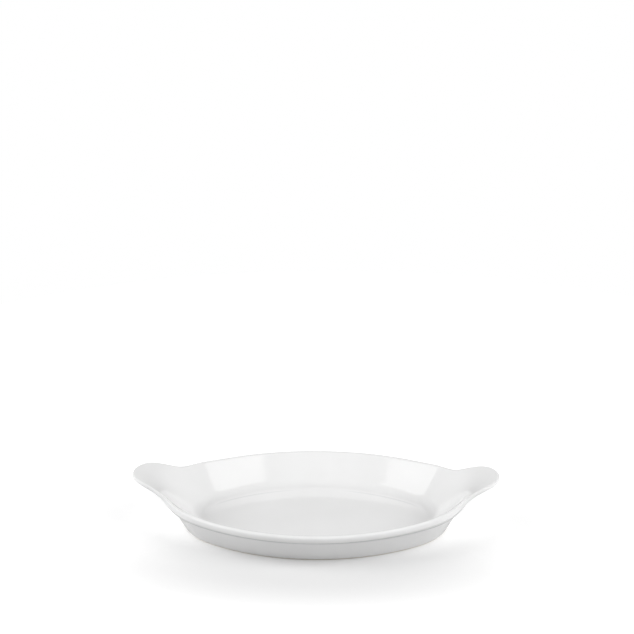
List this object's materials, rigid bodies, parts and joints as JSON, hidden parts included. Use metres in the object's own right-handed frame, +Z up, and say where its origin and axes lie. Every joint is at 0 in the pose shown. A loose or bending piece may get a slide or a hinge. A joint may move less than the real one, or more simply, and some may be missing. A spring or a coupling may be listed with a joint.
{
  "type": "oval gratin dish",
  "caption": "Oval eared gratin dish in glazed white ceramic, a shallow sloping bowl with a rolled rim, two raised ears and a foot ring.",
  "frame": {"origin": "centre of the foot ring, on the surface that the dish stands on, under the middle of the bowl", "axes": "+X over the ears, +Y across the bowl towards the far rim, +Z up out of the bowl"},
  "size_m": [0.232, 0.125, 0.0344],
  "materials": {
    "fired_clay": "matte, bare on the foot ring",
    "white_glaze": "high gloss"
  },
  "bodies": {
    "root": {"clay_body": "fired_clay", "glaze_coat": "white_glaze", "base_glaze": "white_glaze"}
  },
  "joints": []
}
